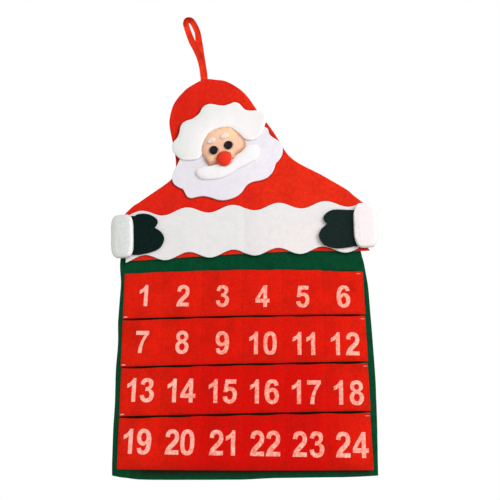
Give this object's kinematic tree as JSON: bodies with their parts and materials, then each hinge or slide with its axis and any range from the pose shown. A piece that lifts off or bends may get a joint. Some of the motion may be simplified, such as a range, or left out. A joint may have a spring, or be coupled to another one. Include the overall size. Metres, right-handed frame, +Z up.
{
  "type": "fabric advent calendar",
  "caption": "Hanging felt advent calendar: a padded bearded figure in coat and hat over rows of sewn pockets, with a ribbon loop.",
  "frame": {"origin": "centre of the back panel's rear face, in the plane of the wall that it hangs on", "axes": "+Z up, +Y into the wall, -Y towards the viewer, +X to the viewer's right"},
  "size_m": [0.2995, 0.02, 0.5495],
  "materials": {
    "green_felt": "matt felt",
    "red_felt": "matt felt",
    "white_felt": "matt felt",
    "beard_felt": "matt felt",
    "face_satin": "soft satin",
    "wadding": "matt fibre",
    "dark_green_felt": "matt felt",
    "black_gloss": "gloss",
    "red_ribbon": "satin"
  },
  "bodies": {
    "calendar": {"back_panel": "green_felt", "beard": "beard_felt", "coat": "red_felt", "cuff_left": "white_felt", "cuff_left_wadding": "wadding", "cuff_right": "white_felt", "cuff_right_wadding": "wadding", "eye_left": "black_gloss", "eye_right": "black_gloss", "eyebrow_left": "white_felt", "eyebrow_right": "white_felt", "face_cover": "face_satin", "face_wadding": "wadding", "hat_brim": "white_felt", "loop_sewn_ends": "red_ribbon", "mitten_left_wrist": "dark_green_felt", "mitten_right_wrist": "dark_green_felt", "moustache": "white_felt", "nose": "red_felt", "pocket_strip_1": "red_felt", "pocket_strip_2": "red_felt", "pocket_strip_3": "red_felt", "pocket_strip_4": "red_felt", "trim_band": "white_felt"},
    "hanging_loop": {"hanging_loop": "red_ribbon"},
    "mitten_left": {"mitten_left": "dark_green_felt"},
    "mitten_right": {"mitten_right": "dark_green_felt"}
  },
  "joints": [
    {"name": "loop_fold", "type": "hinge", "parent": "calendar", "child": "hanging_loop", "pos_m": [-0.0447, -0.00133, 0.3404], "axis": [1, 0, 0], "range_deg": [-90, 90]},
    {"name": "mitten_left_lift", "type": "hinge", "parent": "calendar", "child": "mitten_left", "pos_m": [-0.121, -0.0084, 0.13937], "axis": [0, 0, -1], "range_deg": [0, 60], "stiffness_Nm_per_rad": 0.001},
    {"name": "mitten_right_lift", "type": "hinge", "parent": "calendar", "child": "mitten_right", "pos_m": [0.1251, -0.0084, 0.14008], "axis": [0, 0, 1], "range_deg": [0, 60], "stiffness_Nm_per_rad": 0.001}
  ]
}
